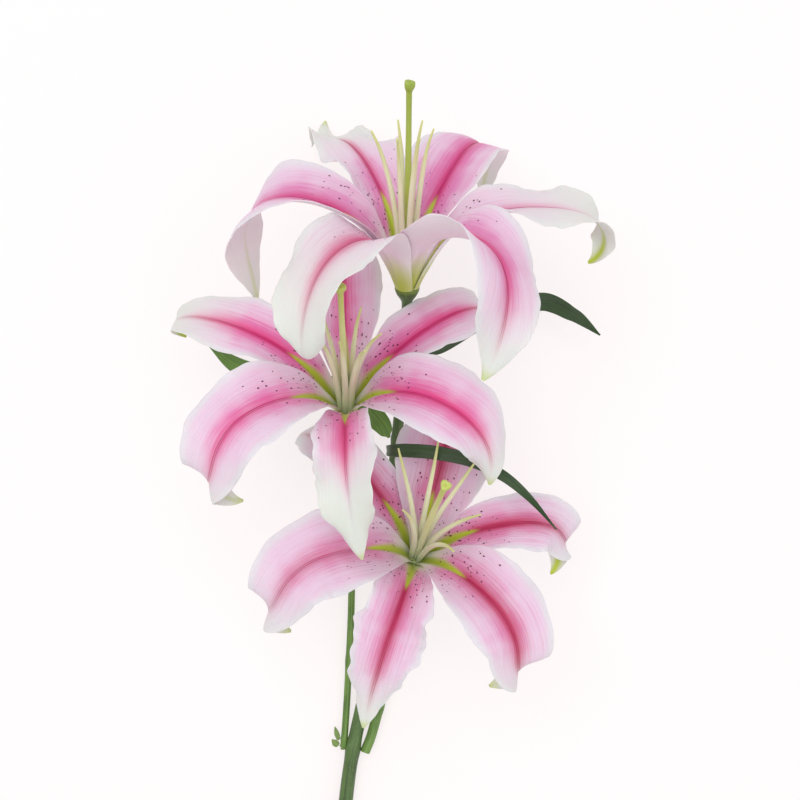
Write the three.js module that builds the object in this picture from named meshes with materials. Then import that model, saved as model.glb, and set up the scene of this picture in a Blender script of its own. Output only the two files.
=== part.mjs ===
// A cut oriental lily lying on a surface: one leafy stem that forks into three
// open blooms. Millimetres, +Z up, +Y from the cut end towards the blooms.
// Every tepal, filament, pistil, leaf and stalk is a closed solid of its own.
import * as THREE from 'three';

// ---- driving dimensions ---------------------------------------------------
const SPRAY_SIZE = 1; // growth of blooms, leaves, stem and stalks and the distances between them
const CUT_LENGTH = 62; // stem below the fork, down to the cut
const STEM_RADIUS = 3.9; // main stem at the cut
const STEM_TOP_RADIUS = 2.5; // main stem just under its bloom
const MIDDLE_STALK_RADIUS = 1.8;
const LOWER_STALK_RADIUS = 2.6;
const FLARE_LENGTH = 9; // stretch over which a stalk swells into its receptacle
const TEPAL_THICKNESS = 0.9;
const LEAF_THICKNESS = 0.8;
const SCALE_THICKNESS = 0.6;
const OVARY_RADIUS = 1.9;
const FILAMENT_RADIUS = 0.6;
const FILAMENT_LENGTH = 75;
const PISTIL_LENGTH = 101;
const GAP = 0.35; // clearance between pieces that touch

// ---- rings on which the pieces of a bloom stand, from the axis outwards ---
const FILAMENT_RING = OVARY_RADIUS + GAP + FILAMENT_RADIUS;
const INNER_RING = FILAMENT_RING + FILAMENT_RADIUS + GAP + TEPAL_THICKNESS / 2;
const OUTER_RING = INNER_RING + TEPAL_THICKNESS + GAP;
const RECEPTACLE_RADIUS = OUTER_RING + TEPAL_THICKNESS / 2;

// ---- shapes shared by many pieces: evenly spaced values from base to tip --
const INNER_OUTLINE = [0.2, 0.33, 0.6, 0.87, 1, 0.95, 0.74, 0.42, 0.03];
const OUTER_OUTLINE = [0.26, 0.4, 0.6, 0.82, 0.97, 1, 0.82, 0.46, 0.03];
const INNER_CUP = [0.95, 0.85, 0.6, 0.3, 0.05, -0.2, -0.4, -0.5, -0.4];
const OUTER_CUP = [0.8, 0.55, 0.35, 0.15, 0, -0.2, -0.4, -0.5, -0.4];
const FOLD = [0, 0, 0.2, 0.28, 0.28, 0.28, 0.3, 0.2, 0];
const LEAF_OUTLINE = [0.32, 0.7, 0.95, 1, 0.88, 0.6, 0.04];
const LEAF_FOLD = 0.3;
const LEAF_SET_OFF = 0.06; // room between a leaf's base and its stalk, as a share of its width
const SCALE_OUTLINE = [0.7, 1, 0.15];
const CLAW_SHARE = 0.93; // share of its sixth or third of the ring a base may fill
const WAVE = [2, 3, 0]; // edge wave: height, count from base to tip, phase

const TEPAL_STEPS = 14;
const TEPAL_COLUMNS = 6;
const SPINE_STEPS = 84; // fine steps in which a tepal's midrib is followed

const PINK = 0xe58cb8;
const BLUSH = 0xf0b4d2;
const STEM_GREEN = 0x5f8a35;
const LEAF_GREEN = 0x274a2a;
const PALE_GREEN = 0xd9e2b0;
const STYLE_GREEN = 0xa9ba55;

// Each bloom stands at `base`, facing along `axis`. `throat` holds the angles
// between its tepals and the axis over their first third, in degrees. A tepal
// leaves the ring at angle `at`; `bend` goes on with its angle to the axis
// (90 is straight out, 180 straight back), `swing` turns its heading sideways
// and `twist` rolls the blade about its midrib, all in degrees. `approach`
// holds how far behind the base its stalk already runs along the axis.
const BLOOMS = {
  top: {
    base: [3.4, 54.6, 62],
    axis: [0.006, 0.825, 0.565],
    size: 1.06,
    approach: [24, 11],
    throat: [18, 26, 38, 57],
    tepals: {
      right: {
        at: -3, length: 122, width: 35, bend: [74, 86, 95, 121, 178, 240],
        swing: [0, 0, -1, -3, -10], twist: [0, 0, 0, -6, -45], wave: [4, 2.6, 0.5],
      },
      back_right: {
        at: 60, inner: true, length: 121, width: 38, bend: [62, 75, 103, 150, 190, 210],
        twist: [0, 0, 3, 9, 8], wave: [3.5, 2, 1],
      },
      back_left: {
        at: 115, length: 124, width: 34, bend: [67, 82, 100, 110, 96, 72],
        swing: [0, 0, 2, -2, -22], twist: [0, 0, 0, 4, 20], wave: [6, 3.2, 4.6],
      },
      left: {
        at: 181, inner: true, length: 134, width: 44, bend: [74, 102, 146, 182, 190, 184],
        swing: [0, 0, 0, -3, -10, -16], twist: [0, 0, 0, 6, 15, 20], wave: [2.5, 2.4, 0],
      },
      front_left: {
        at: 240, length: 128, width: 38, bend: [78, 103, 129, 152, 186, 262],
        swing: [0, 0, -6, -5, 8, 22], twist: [0, 0, 5, 15, 15], wave: [4, 2.6, 1],
      },
      front_right: {
        at: 296, inner: true, length: 138, width: 46, bend: [75, 94, 122, 152, 160, 148],
        swing: [0, 0, 5, 12, 12, 6, -10, -40, -78, -98], twist: [0, 0, -8, -34, -48, -40],
        wave: [2.5, 2.5, 0],
      },
    },
  },
  middle: {
    base: [-26.7, -4, 42],
    axis: [0.01, 0.52, 0.855],
    size: 0.96,
    approach: [24, 11],
    throat: [18, 27, 39, 55],
    tepals: {
      upper_right: {
        at: 28, length: 112, width: 32, bend: [60, 73, 92, 116, 152, 210], swing: [0, 0, 0, 1, 3],
        wave: [2.5, 2.6, 0],
      },
      top: {
        at: 91, inner: true, length: 116, width: 38, bend: [64, 76, 90, 110, 140, 180],
      },
      upper_left: {
        at: 159, length: 127, width: 33, bend: [70, 86, 101, 118, 155, 255], wave: [2.5, 2.4, 1],
      },
      lower_left: {
        at: 214, inner: true, length: 138, width: 42, bend: [72, 92, 114, 148, 215, 280],
        swing: [0, 0, 0, 0, 2, 8, 26, 30, -50, -34], wave: [2, 3, 0],
      },
      bottom: {
        at: 272, length: 118, width: 32, bend: [70, 95, 120, 138, 146, 150],
        swing: [0, 0, 0, 8, 34], twist: [0, 0, 18, 26, 24, 20], wave: [3, 3, 0],
      },
      right: {
        at: 337, inner: true, length: 122, width: 42, bend: [70, 87, 106, 130, 150, 158],
        swing: [0, 0, 0, 0, -3, -8, -14, -26, -52, -84],
      },
    },
  },
  lower: {
    base: [8.2, -79.6, 20],
    axis: [0.118, 0.413, 0.9],
    size: 0.98,
    approach: [11, 5],
    throat: [18, 29, 42, 58],
    tepals: {
      right: {
        at: 11, length: 113, width: 30, bend: [72, 88, 105, 144, 230, 262],
        swing: [0, 0, 0, -3, -4, -8, -22, -46, 66, 36], twist: [0, 0, 0, 0, 0, 0, 6, 14, 10, 0],
      },
      top: {
        at: 78, inner: true, length: 109, width: 48, bend: [62, 77, 100, 138, 180, 210],
        wave: [3.5, 2.4, 1],
      },
      upper_left: {
        at: 137, length: 113, width: 30, bend: [69, 84, 99, 122, 155, 200], swing: [0, 0, 0, 6, 16],
      },
      left: {
        at: 196, inner: true, length: 134, width: 43, bend: [68, 84, 104, 140, 205, 275],
        swing: [0, 0, 0, 2, 5, 12, 32, 40, -50, -30],
      },
      bottom: {
        at: 251, length: 116, width: 34, bend: [68, 88, 108, 122, 130, 135],
        swing: [0, 0, 0, 4, 10], wave: [4, 3, 0.5],
      },
      lower_right: {
        at: 314, inner: true, length: 124, width: 42, bend: [68, 86, 106, 142, 210, 275],
        swing: [0, 0, 0, -2, -5, -9, -22, -30, 66, 60],
      },
    },
  },
};

// Filaments: where each leaves the ring and how far its tip leans, in degrees.
const FILAMENTS = {
  top: [[4, 5], [62, 6], [112, 6], [180, 9], [239, 5], [294, 5]],
  middle: [[350, 11], [50, 7], [137, 9], [210, 7], [265, 4], [310, 10]],
  lower: [[353, 13], [52, 23], [86, 27], [120, 25], [188, 9], [291, 14]],
};

// Routes: points the stem and the two side stalks pass, from the fork upwards.
const MAIN_ROUTE = [
  [-27, -198, 4.2], [-20.5, -163, 4], [-11.5, -126, 3.8], [-7.3, -84, 4],
  [-4, -44, 6], [-1, -14, 13], [1.4, 11, 28],
];
const MIDDLE_ROUTE = [
  [-29.2, -178, 2.2], [-27.4, -150, 2.2], [-25.4, -104, 2.2], [-25.8, -62, 4], [-27, -34, 10],
];
const LOWER_ROUTE = [[-14, -172, 3], [-6, -140, 3], [0.5, -112, 3], [4.2, -95, 4]];
const CUT_DIRECTION = [-0.1, -0.995, 0];
const FORK_SHARE = 0.14; // share of the main stem below the side stalks

// Leaves of the main stem: `share` of its length, `side` in degrees round it
// (90 is on top), the route from there on, and the way the upper face looks.
const LEAVES = {
  leaf_left: {
    share: 0.58, side: 146, width: 13.5, face: [0, 0, 1],
    route: [[-11.2, -10.2, 22], [-26, 3, 24], [-51, 8, 23], [-80, 16, 20], [-101, 31, 14]],
  },
  leaf_right: {
    share: 0.81, side: -10, width: 12, face: [0, 0, 1],
    route: [[18, 27, 34], [44, 43.5, 30], [71, 50, 30], [87, 43.5, 29], [101.5, 33, 23]],
  },
  leaf_front: {
    share: 0.55, side: 95, width: 6.4, face: [-1, 0, 0],
    route: [
      [-6, -25.5, 28], [-5, -25, 43], [4, -24.5, 53], [18, -25.5, 58], [34, -29, 61],
      [49, -36, 63], [62, -47, 63], [75, -62, 60],
    ],
  },
};

// Small bract and torn leaf stubs on the stalk of the middle bloom.
const SCALES = {
  bract: { share: 0.29, side: 20, width: 2.6, reach: [4.5, 9, 1.6] },
  leaf_stub_upper: { share: 0.13, side: 170, width: 2.4, reach: [-2, 7, 0.6] },
  leaf_stub_lower: { share: 0.08, side: 160, width: 3.4, reach: [-3.2, 3.4, 0.8] },
};

const group = new THREE.Group();
const { degToRad, clamp } = THREE.MathUtils;

/** Smooth value at share s of a list of evenly spaced values (Catmull-Rom). */
function along(values, s) {
  const last = values.length - 1;
  const x = clamp(s, 0, 1) * last;
  const i = Math.min(Math.floor(x), last - 1);
  const f = x - i;
  const b = values[i];
  const c = values[i + 1];
  const a = i > 0 ? values[i - 1] : 2 * b - c;
  const d = i + 2 <= last ? values[i + 2] : 2 * c - b;
  return b + 0.5 * f * (c - a + f * (2 * a - 5 * b + 4 * c - d + f * (3 * (b - c) + d - a)));
}

/** Point at share s of a route of evenly counted points. */
function pointAlong(route, s) {
  return new THREE.Vector3(
    along(route.map((p) => p.x), s),
    along(route.map((p) => p.y), s),
    along(route.map((p) => p.z), s),
  );
}

function vector(p, scale = 1) {
  return new THREE.Vector3(...p).multiplyScalar(scale);
}

/** Closed geometry from a list of points and triangles, turned to face out. */
function closedGeometry(points, triangles) {
  let volume = 0;
  for (const [a, b, c] of triangles) {
    volume += points[a].dot(new THREE.Vector3().crossVectors(points[b], points[c]));
  }
  const turned = volume < 0 ? triangles.map(([a, b, c]) => [a, c, b]) : triangles;
  const geometry = new THREE.BufferGeometry().setFromPoints(points);
  geometry.setIndex(turned.flat());
  geometry.computeVertexNormals();
  return geometry;
}

/** Solid blade: a grid of points given thickness, closed around its rim. */
function bladeGeometry(grid, thickness) {
  const rows = grid.length;
  const columns = grid[0].length;
  const upper = [];
  const lower = [];
  for (let i = 0; i < rows; i += 1) {
    for (let j = 0; j < columns; j += 1) {
      const ahead = grid[Math.min(i + 1, rows - 1)][j].clone().sub(grid[Math.max(i - 1, 0)][j]);
      const across = grid[i][Math.min(j + 1, columns - 1)].clone().sub(grid[i][Math.max(j - 1, 0)]);
      const lift = ahead.cross(across).normalize().multiplyScalar(thickness / 2);
      upper.push(grid[i][j].clone().add(lift));
      lower.push(grid[i][j].clone().sub(lift));
    }
  }
  const count = rows * columns;
  const triangles = [];
  const quad = (a, b, c, d) => triangles.push([a, b, c], [a, c, d]);
  for (let i = 0; i < rows - 1; i += 1) {
    for (let j = 0; j < columns - 1; j += 1) {
      const k = i * columns + j;
      quad(k, k + columns, k + columns + 1, k + 1);
      quad(count + k, count + k + 1, count + k + columns + 1, count + k + columns);
    }
  }
  const rim = [];
  for (let j = 0; j < columns - 1; j += 1) rim.push(j);
  for (let i = 0; i < rows - 1; i += 1) rim.push(i * columns + columns - 1);
  for (let j = columns - 1; j > 0; j -= 1) rim.push((rows - 1) * columns + j);
  for (let i = rows - 1; i > 0; i -= 1) rim.push(i * columns);
  rim.forEach((k, n) => {
    const next = rim[(n + 1) % rim.length];
    quad(k, next, count + next, count + k);
  });
  return closedGeometry([...upper, ...lower], triangles);
}

/** Solid round stalk along a list of centre points, one radius at each. */
function stalkGeometry(centres, radii, sides) {
  const points = [];
  const triangles = [];
  const last = centres.length - 1;
  let right = new THREE.Vector3(1, 0, 0);
  centres.forEach((centre, i) => {
    const tangent = centres[Math.min(i + 1, last)].clone().sub(centres[Math.max(i - 1, 0)]).normalize();
    right = right.clone().addScaledVector(tangent, -right.dot(tangent)).normalize();
    const up = tangent.clone().cross(right);
    for (let k = 0; k < sides; k += 1) {
      const angle = (2 * Math.PI * k) / sides;
      points.push(centre.clone()
        .addScaledVector(right, radii[i] * Math.cos(angle))
        .addScaledVector(up, radii[i] * Math.sin(angle)));
    }
  });
  for (let i = 0; i < last; i += 1) {
    for (let k = 0; k < sides; k += 1) {
      const a = i * sides + k;
      const b = i * sides + ((k + 1) % sides);
      triangles.push([a, b, b + sides], [a, b + sides, a + sides]);
    }
  }
  const start = points.push(centres[0].clone()) - 1;
  const end = points.push(centres[last].clone()) - 1;
  for (let k = 0; k < sides; k += 1) {
    const next = (k + 1) % sides;
    triangles.push([start, next, k]);
    triangles.push([end, last * sides + k, last * sides + next]);
  }
  return closedGeometry(points, triangles);
}

function addPiece(parent, name, geometry, color, roughness) {
  const material = new THREE.MeshStandardMaterial({ color, roughness, metalness: 0 });
  const mesh = new THREE.Mesh(geometry, material);
  mesh.name = name;
  parent.add(mesh);
  return mesh;
}

// ---- blooms ---------------------------------------------------------------

/** Grid of a tepal's middle surface in its bloom's frame, whose axis is +Z. */
function tepalGrid(bloom, tepal) {
  const size = bloom.size * SPRAY_SIZE;
  const step = (tepal.length * size) / SPINE_STEPS;
  const ring = tepal.inner ? INNER_RING : OUTER_RING;
  const pitches = [...bloom.throat, ...tepal.bend];
  const swing = tepal.swing ?? [0, 0];
  const twist = tepal.twist ?? [0, 0];
  const [waveHeight, waveCount, wavePhase] = tepal.wave ?? WAVE;
  const outline = tepal.inner ? INNER_OUTLINE : OUTER_OUTLINE;
  const cups = tepal.inner ? INNER_CUP : OUTER_CUP;
  const clawShare = CLAW_SHARE * (Math.PI / 3);
  const start = degToRad(tepal.at);
  const spine = new THREE.Vector3(ring * Math.cos(start), ring * Math.sin(start), 0);
  const grid = [];
  const direction = (s) => {
    const pitch = degToRad(along(pitches, s));
    const heading = start + degToRad(along(swing, s));
    const out = new THREE.Vector3(Math.cos(heading), Math.sin(heading), 0);
    return {
      tangent: out.clone().multiplyScalar(Math.sin(pitch)).setZ(Math.cos(pitch)),
      normal: out.clone().multiplyScalar(-Math.cos(pitch)).setZ(Math.sin(pitch)),
      side: new THREE.Vector3(-Math.sin(heading), Math.cos(heading), 0),
    };
  };
  for (let k = 0; k <= SPINE_STEPS; k += 1) {
    const s = k / SPINE_STEPS;
    const { normal, side } = direction(s);
    if (k % (SPINE_STEPS / TEPAL_STEPS) === 0) {
      const roll = degToRad(along(twist, s));
      const across = side.clone().multiplyScalar(Math.cos(roll)).addScaledVector(normal, Math.sin(roll));
      const lift = normal.clone().multiplyScalar(Math.cos(roll)).addScaledVector(side, -Math.sin(roll));
      const blade = (tepal.width / 2) * size * along(outline, s);
      const half = Math.min(blade, Math.hypot(spine.x, spine.y) * clawShare);
      const cup = along(cups, s) || 0.001;
      const fold = along(FOLD, s);
      const ruffle = waveHeight * clamp((s - 0.25) / 0.25, 0, 1) * clamp((1 - s) / 0.12, 0, 1);
      const row = [];
      for (let j = 0; j <= TEPAL_COLUMNS; j += 1) {
        const t = (2 * j) / TEPAL_COLUMNS - 1;
        const phase = 2 * Math.PI * waveCount * s + wavePhase + (t > 0 ? 1.3 : 0);
        const rise = (half * (1 - Math.cos(cup * t))) / cup
          + fold * (Math.hypot(half * t, 2) - 2)
          + ruffle * Math.abs(t) ** 2.5 * Math.sin(phase);
        row.push(spine.clone()
          .addScaledVector(across, (half * Math.sin(cup * t)) / cup)
          .addScaledVector(lift, rise));
      }
      grid.push(row);
    }
    const middle = direction(s + 0.5 / SPINE_STEPS).tangent;
    spine.addScaledVector(middle, step);
  }
  return grid;
}

/** Filament from the ring round the ovary, leaning out more and more. */
function filamentGeometry(bloom, at, lean) {
  const steps = 6;
  const size = bloom.size * SPRAY_SIZE;
  const angle = degToRad(at);
  const out = new THREE.Vector3(Math.cos(angle), Math.sin(angle), 0);
  const centres = [];
  const radii = [];
  for (let i = 0; i <= steps; i += 1) {
    const s = i / steps;
    const length = FILAMENT_LENGTH * size * s;
    const tilt = degToRad(lean) * s;
    centres.push(out.clone().multiplyScalar(FILAMENT_RING + length * Math.sin(tilt))
      .setZ(GAP + length * Math.cos(tilt)));
    radii.push(FILAMENT_RADIUS * along([1, 1.1, 0.95, 0.7, 0.45], s));
  }
  return stalkGeometry(centres, radii, 6);
}

/** Pistil: ovary, long style and knobbed stigma in one piece. */
function pistilGeometry(bloom) {
  const steps = 14;
  const length = PISTIL_LENGTH * SPRAY_SIZE;
  const profile = [0.9, 1, 1, 0.9, 0.74, 0.66, 0.64, 0.64, 0.64, 0.65, 0.66, 0.68, 0.7, 0.82, 1.4];
  const centres = [];
  const radii = [];
  for (let i = 0; i <= steps; i += 1) {
    const s = i / steps;
    centres.push(new THREE.Vector3(0, 1.5 * Math.sin(Math.PI * s), GAP + length * s));
    radii.push(OVARY_RADIUS * along(profile, s));
  }
  return stalkGeometry(centres, radii, 8);
}

function bloomFrame(bloom) {
  const facing = vector(bloom.axis).normalize();
  const right = new THREE.Vector3(1, 0, 0).addScaledVector(facing, -facing.x).normalize();
  const up = facing.clone().cross(right);
  return { facing, matrix: new THREE.Matrix4().makeBasis(right, up, facing) };
}

function addBloom(name, bloom) {
  const frame = new THREE.Group();
  frame.position.copy(vector(bloom.base, SPRAY_SIZE));
  frame.setRotationFromMatrix(bloomFrame(bloom).matrix);
  group.add(frame);
  for (const [place, tepal] of Object.entries(bloom.tepals)) {
    const geometry = bladeGeometry(tepalGrid(bloom, tepal), TEPAL_THICKNESS);
    addPiece(frame, `${name}_tepal_${place}`, geometry, tepal.inner ? BLUSH : PINK, 0.55);
  }
  FILAMENTS[name].forEach(([at, lean], i) => {
    addPiece(frame, `${name}_filament_${i + 1}`, filamentGeometry(bloom, at, lean), PALE_GREEN, 0.5);
  });
  addPiece(frame, `${name}_pistil`, pistilGeometry(bloom), STYLE_GREEN, 0.45);
}

// ---- stem and stalks ------------------------------------------------------

/** Route that arrives at a bloom straight along its axis, just short of it. */
function routeToBloom(points, bloom) {
  const { facing } = bloomFrame(bloom);
  const base = vector(bloom.base, SPRAY_SIZE);
  const behind = (distance) => base.clone().addScaledVector(facing, -distance);
  const seat = GAP + TEPAL_THICKNESS / 4;
  return [...points, ...bloom.approach.map(behind), behind(seat)];
}

/** Centre points and radii of a stalk that swells into its receptacle. */
function stalkStations(route, steps, startRadius, endRadius) {
  const centres = [];
  for (let i = 0; i <= steps; i += 1) centres.push(pointAlong(route, i / steps));
  const left = new Array(steps + 1).fill(0);
  for (let i = steps - 1; i >= 0; i -= 1) {
    left[i] = left[i + 1] + centres[i].distanceTo(centres[i + 1]);
  }
  const radii = left.map((distance) => {
    const plain = startRadius + (endRadius - startRadius) * (1 - distance / left[0]);
    const swell = Math.max(0, 1 - distance / (FLARE_LENGTH * SPRAY_SIZE)) ** 2;
    return plain + (RECEPTACLE_RADIUS - plain) * swell;
  });
  return { centres, radii };
}

/** Point beside a stalk: `side` in degrees round it, 90 is on top. */
function beside(stalk, share, side, clearance) {
  const i = Math.round(share * (stalk.centres.length - 1));
  const ahead = stalk.centres[i + 1].clone().sub(stalk.centres[i]).normalize();
  const right = new THREE.Vector3(0, 0, -1).cross(ahead).normalize();
  const up = right.clone().cross(ahead);
  const out = right.multiplyScalar(Math.cos(degToRad(side)))
    .addScaledVector(up, Math.sin(degToRad(side)));
  return stalk.centres[i].clone().addScaledVector(out, stalk.radii[i] + GAP + clearance);
}

const STEM_STEPS = 36;
const STALK_STEPS = 24;
const stemRadius = STEM_RADIUS * SPRAY_SIZE;
const fork = vector(MAIN_ROUTE[0], SPRAY_SIZE);
const cut = fork.clone().addScaledVector(vector(CUT_DIRECTION), CUT_LENGTH);
cut.z = stemRadius;
const mainRoute = routeToBloom(
  [cut, ...MAIN_ROUTE.map((p) => vector(p, SPRAY_SIZE))],
  BLOOMS.top,
);
const mainStem = stalkStations(mainRoute, STEM_STEPS, stemRadius, STEM_TOP_RADIUS * SPRAY_SIZE);
addPiece(group, 'main_stem', stalkGeometry(mainStem.centres, mainStem.radii, 10), STEM_GREEN, 0.5);

function addSideStalk(name, side, route, bloom, ownRadius) {
  const radius = ownRadius * SPRAY_SIZE;
  const start = beside(mainStem, FORK_SHARE, side, radius);
  const points = [start, ...route.map((p) => vector(p, SPRAY_SIZE))];
  const stalk = stalkStations(routeToBloom(points, bloom), STALK_STEPS, radius, radius);
  addPiece(group, name, stalkGeometry(stalk.centres, stalk.radii, 10), STEM_GREEN, 0.5);
  return stalk;
}

const middleStalk = addSideStalk('middle_flower_stalk', 200, MIDDLE_ROUTE, BLOOMS.middle,
  MIDDLE_STALK_RADIUS);
addSideStalk('lower_flower_stalk', -8, LOWER_ROUTE, BLOOMS.lower, LOWER_STALK_RADIUS);

// ---- leaves ---------------------------------------------------------------

/** Grid of a leaf that follows a route, folded a little along its midrib. */
function leafGrid(route, face, width, outline, steps, columns) {
  const grid = [];
  const up = vector(face);
  for (let i = 0; i <= steps; i += 1) {
    const s = i / steps;
    const centre = pointAlong(route, s);
    const tangent = pointAlong(route, Math.min(s + 0.01, 1))
      .sub(pointAlong(route, Math.max(s - 0.01, 0))).normalize();
    up.addScaledVector(tangent, -up.dot(tangent)).normalize();
    const side = up.clone().cross(tangent);
    const half = (width / 2) * along(outline, s);
    const row = [];
    for (let j = 0; j <= columns; j += 1) {
      const x = half * ((2 * j) / columns - 1);
      row.push(centre.clone().addScaledVector(side, x)
        .addScaledVector(up, LEAF_FOLD * (Math.hypot(x, 1) - 1)));
    }
    grid.push(row);
  }
  return grid;
}

for (const [name, leaf] of Object.entries(LEAVES)) {
  const room = LEAF_THICKNESS + LEAF_SET_OFF * leaf.width * SPRAY_SIZE;
  const start = beside(mainStem, leaf.share, leaf.side, room);
  const route = [start, ...leaf.route.map((p) => vector(p, SPRAY_SIZE))];
  const grid = leafGrid(route, leaf.face, leaf.width * SPRAY_SIZE, LEAF_OUTLINE, 16, 4);
  addPiece(group, name, bladeGeometry(grid, LEAF_THICKNESS), LEAF_GREEN, 0.4);
}

for (const [name, scale] of Object.entries(SCALES)) {
  const room = SCALE_THICKNESS + LEAF_SET_OFF * scale.width;
  const start = beside(middleStalk, scale.share, scale.side, room);
  const end = start.clone().add(vector(scale.reach));
  const route = [start, start.clone().lerp(end, 0.5), end];
  const grid = leafGrid(route, [0, 0, 1], scale.width, SCALE_OUTLINE, 4, 2);
  addPiece(group, name, bladeGeometry(grid, SCALE_THICKNESS), STEM_GREEN, 0.6);
}

for (const [name, bloom] of Object.entries(BLOOMS)) addBloom(name, bloom);

// ---- origin: middle of the underside, on the surface the lily lies on -----
const bounds = new THREE.Box3().setFromObject(group, true);
const middle = bounds.getCenter(new THREE.Vector3());
group.position.set(-middle.x, -middle.y, -bounds.min.z);

export default group;
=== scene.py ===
"""A cut oriental lily lying on a pale surface, seen from straight above.

Every tepal, filament, pistil, leaf and stalk is rebuilt in a fine mesh on the same
curves as the CAD part. Tables are in millimetres in the spray's own frame, and
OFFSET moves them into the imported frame.
"""

import math

import bpy
import numpy as np
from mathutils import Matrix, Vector


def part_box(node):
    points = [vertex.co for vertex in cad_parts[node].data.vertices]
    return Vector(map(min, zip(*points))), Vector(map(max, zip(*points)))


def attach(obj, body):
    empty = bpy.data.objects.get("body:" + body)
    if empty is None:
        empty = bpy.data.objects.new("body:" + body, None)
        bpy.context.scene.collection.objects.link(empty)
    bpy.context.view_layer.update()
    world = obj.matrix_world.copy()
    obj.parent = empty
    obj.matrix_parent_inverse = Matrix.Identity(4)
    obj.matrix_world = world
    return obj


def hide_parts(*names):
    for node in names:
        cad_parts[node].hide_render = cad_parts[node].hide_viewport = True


MM = 0.001

# ---- dimensions shared with the CAD part ----------------------------------------
CUT_LENGTH = 62
STEM_RADIUS = 3.9
STEM_TOP_RADIUS = 2.5
MIDDLE_STALK_RADIUS = 1.8
LOWER_STALK_RADIUS = 2.6
FLARE_LENGTH = 9
TEPAL_THICKNESS = 0.9
LEAF_THICKNESS = 0.8
SCALE_THICKNESS = 0.6
OVARY_RADIUS = 1.9
FILAMENT_RADIUS = 0.6
FILAMENT_LENGTH = 75
PISTIL_LENGTH = 101
PISTIL_BOW = 1.5
GAP = 0.35
CLAW_SHARE = 0.93
LEAF_FOLD = 0.3
LEAF_SET_OFF = 0.06  # room between a leaf's base and its stalk, as a share of its width
WAVE = (2, 3, 0)  # edge wave: height, count from base to tip, phase
NOTCH = 0.035  # share of the width that the edge swings in and out

FILAMENT_RING = OVARY_RADIUS + GAP + FILAMENT_RADIUS
INNER_RING = FILAMENT_RING + FILAMENT_RADIUS + GAP + TEPAL_THICKNESS / 2
OUTER_RING = INNER_RING + TEPAL_THICKNESS + GAP
RECEPTACLE_RADIUS = OUTER_RING + TEPAL_THICKNESS / 2

# Evenly spaced values from base to tip.
INNER_OUTLINE = (0.2, 0.33, 0.6, 0.87, 1, 0.95, 0.74, 0.42, 0.03)
OUTER_OUTLINE = (0.26, 0.4, 0.6, 0.82, 0.97, 1, 0.82, 0.46, 0.03)
INNER_CUP = (0.95, 0.85, 0.6, 0.3, 0.05, -0.2, -0.4, -0.5, -0.4)
OUTER_CUP = (0.8, 0.55, 0.35, 0.15, 0, -0.2, -0.4, -0.5, -0.4)
FOLD = (0, 0, 0.2, 0.28, 0.28, 0.28, 0.3, 0.2, 0)
LEAF_OUTLINE = (0.32, 0.7, 0.95, 1, 0.88, 0.6, 0.04)
SCALE_OUTLINE = (0.7, 1, 0.15)

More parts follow.
